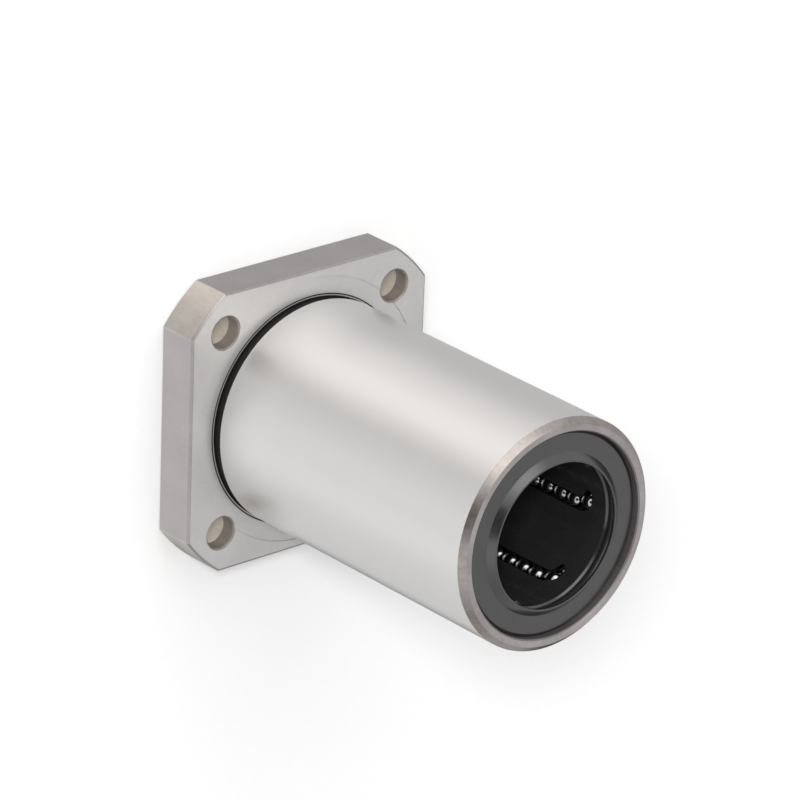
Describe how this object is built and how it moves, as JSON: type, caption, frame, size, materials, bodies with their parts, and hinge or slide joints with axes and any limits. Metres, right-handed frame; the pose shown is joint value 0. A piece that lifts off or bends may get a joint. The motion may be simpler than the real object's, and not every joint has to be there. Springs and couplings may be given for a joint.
{
  "type": "flanged linear ball bearing",
  "caption": "Sealed linear ball bearing: a long round steel barrel with a square flange, resin ball retainer, endless ball circuits and a rubber wiper seal at each end.",
  "frame": {"origin": "centre of the bore on the flange's outer face, which the part stands on", "axes": "+Z along the bore axis from the flange to the nose; +X and +Y square to the flange's flats"},
  "size_m": [0.05, 0.05, 0.071],
  "materials": {
    "ground_steel": "ground and polished",
    "retainer_resin": "moulded, glossy",
    "ring_steel": "plain",
    "seal_rubber": "matt",
    "ball_steel": "polished"
  },
  "bodies": {
    "housing": {"outer_sleeve": "ground_steel", "ball_retainer": "retainer_resin", "flange_end_ring": "ring_steel", "nose_end_ring": "ring_steel", "flange_end_seal": "seal_rubber", "nose_end_seal": "seal_rubber"},
    "load_rows": {"load_balls_1": "ball_steel", "load_balls_2": "ball_steel", "load_balls_3": "ball_steel", "load_balls_4": "ball_steel", "load_balls_5": "ball_steel", "load_balls_6": "ball_steel"},
    "return_rows": {"return_balls_1": "ball_steel", "return_balls_2": "ball_steel", "return_balls_3": "ball_steel", "return_balls_4": "ball_steel", "return_balls_5": "ball_steel", "return_balls_6": "ball_steel"},
    "nose_turn_1": {"nose_turn_balls_1": "ball_steel"},
    "nose_turn_2": {"nose_turn_balls_2": "ball_steel"},
    "nose_turn_3": {"nose_turn_balls_3": "ball_steel"},
    "nose_turn_4": {"nose_turn_balls_4": "ball_steel"},
    "nose_turn_5": {"nose_turn_balls_5": "ball_steel"},
    "nose_turn_6": {"nose_turn_balls_6": "ball_steel"},
    "flange_turn_1": {"flange_turn_balls_1": "ball_steel"},
    "flange_turn_2": {"flange_turn_balls_2": "ball_steel"},
    "flange_turn_3": {"flange_turn_balls_3": "ball_steel"},
    "flange_turn_4": {"flange_turn_balls_4": "ball_steel"},
    "flange_turn_5": {"flange_turn_balls_5": "ball_steel"},
    "flange_turn_6": {"flange_turn_balls_6": "ball_steel"}
  },
  "joints": [
    {"name": "load_row_travel", "type": "slide", "parent": "housing", "child": "load_rows", "axis": [0, 0, 1], "range_m": [-0.00164, 0.00164]},
    {"name": "return_row_travel", "type": "slide", "parent": "housing", "child": "return_rows", "axis": [0, 0, 1], "range_m": [-0.00164, 0.00164]},
    {"name": "nose_turn_1_roll", "type": "hinge", "parent": "housing", "child": "nose_turn_1", "pos_m": [0.01434, 0.0013, 0.0617], "axis": [0.9928, -0.1199, 0], "range_deg": [-45, 45]},
    {"name": "nose_turn_2_roll", "type": "hinge", "parent": "housing", "child": "nose_turn_2", "pos_m": [0.00604, 0.01307, 0.0617], "axis": [0.6002, 0.7998, 0], "range_deg": [-45, 45]},
    {"name": "nose_turn_3_roll", "type": "hinge", "parent": "housing", "child": "nose_turn_3", "pos_m": [-0.0083, 0.01177, 0.0617], "axis": [-0.3926, 0.9197, 0], "range_deg": [-45, 45]},
    {"name": "nose_turn_4_roll", "type": "hinge", "parent": "housing", "child": "nose_turn_4", "pos_m": [-0.01434, -0.0013, 0.0617], "axis": [-0.9928, 0.1199, 0], "range_deg": [-45, 45]},
    {"name": "nose_turn_5_roll", "type": "hinge", "parent": "housing", "child": "nose_turn_5", "pos_m": [-0.00604, -0.01307, 0.0617], "axis": [-0.6002, -0.7998, 0], "range_deg": [-45, 45]},
    {"name": "nose_turn_6_roll", "type": "hinge", "parent": "housing", "child": "nose_turn_6", "pos_m": [0.0083, -0.01177, 0.0617], "axis": [0.3926, -0.9197, 0], "range_deg": [-45, 45]},
    {"name": "flange_turn_1_roll", "type": "hinge", "parent": "housing", "child": "flange_turn_1", "pos_m": [0.01434, 0.0013, 0.0093], "axis": [0.9928, -0.1199, 0], "range_deg": [-45, 45]},
    {"name": "flange_turn_2_roll", "type": "hinge", "parent": "housing", "child": "flange_turn_2", "pos_m": [0.00604, 0.01307, 0.0093], "axis": [0.6002, 0.7998, 0], "range_deg": [-45, 45]},
    {"name": "flange_turn_3_roll", "type": "hinge", "parent": "housing", "child": "flange_turn_3", "pos_m": [-0.0083, 0.01177, 0.0093], "axis": [-0.3926, 0.9197, 0], "range_deg": [-45, 45]},
    {"name": "flange_turn_4_roll", "type": "hinge", "parent": "housing", "child": "flange_turn_4", "pos_m": [-0.01434, -0.0013, 0.0093], "axis": [-0.9928, 0.1199, 0], "range_deg": [-45, 45]},
    {"name": "flange_turn_5_roll", "type": "hinge", "parent": "housing", "child": "flange_turn_5", "pos_m": [-0.00604, -0.01307, 0.0093], "axis": [-0.6002, -0.7998, 0], "range_deg": [-45, 45]},
    {"name": "flange_turn_6_roll", "type": "hinge", "parent": "housing", "child": "flange_turn_6", "pos_m": [0.0083, -0.01177, 0.0093], "axis": [0.3926, -0.9197, 0], "range_deg": [-45, 45]}
  ],
  "couplings": [
    {"joint": "return_row_travel", "follows": "load_row_travel", "ratio": -1},
    {"joint": "nose_turn_1_roll", "follows": "load_row_travel", "rad_per_m": -479.63},
    {"joint": "nose_turn_2_roll", "follows": "load_row_travel", "rad_per_m": -479.63},
    {"joint": "nose_turn_3_roll", "follows": "load_row_travel", "rad_per_m": -479.63},
    {"joint": "nose_turn_4_roll", "follows": "load_row_travel", "rad_per_m": -479.63},
    {"joint": "nose_turn_5_roll", "follows": "load_row_travel", "rad_per_m": -479.63},
    {"joint": "nose_turn_6_roll", "follows": "load_row_travel", "rad_per_m": -479.63},
    {"joint": "flange_turn_1_roll", "follows": "load_row_travel", "rad_per_m": -479.63},
    {"joint": "flange_turn_2_roll", "follows": "load_row_travel", "rad_per_m": -479.63},
    {"joint": "flange_turn_3_roll", "follows": "load_row_travel", "rad_per_m": -479.63},
    {"joint": "flange_turn_4_roll", "follows": "load_row_travel", "rad_per_m": -479.63},
    {"joint": "flange_turn_5_roll", "follows": "load_row_travel", "rad_per_m": -479.63},
    {"joint": "flange_turn_6_roll", "follows": "load_row_travel", "rad_per_m": -479.63}
  ]
}
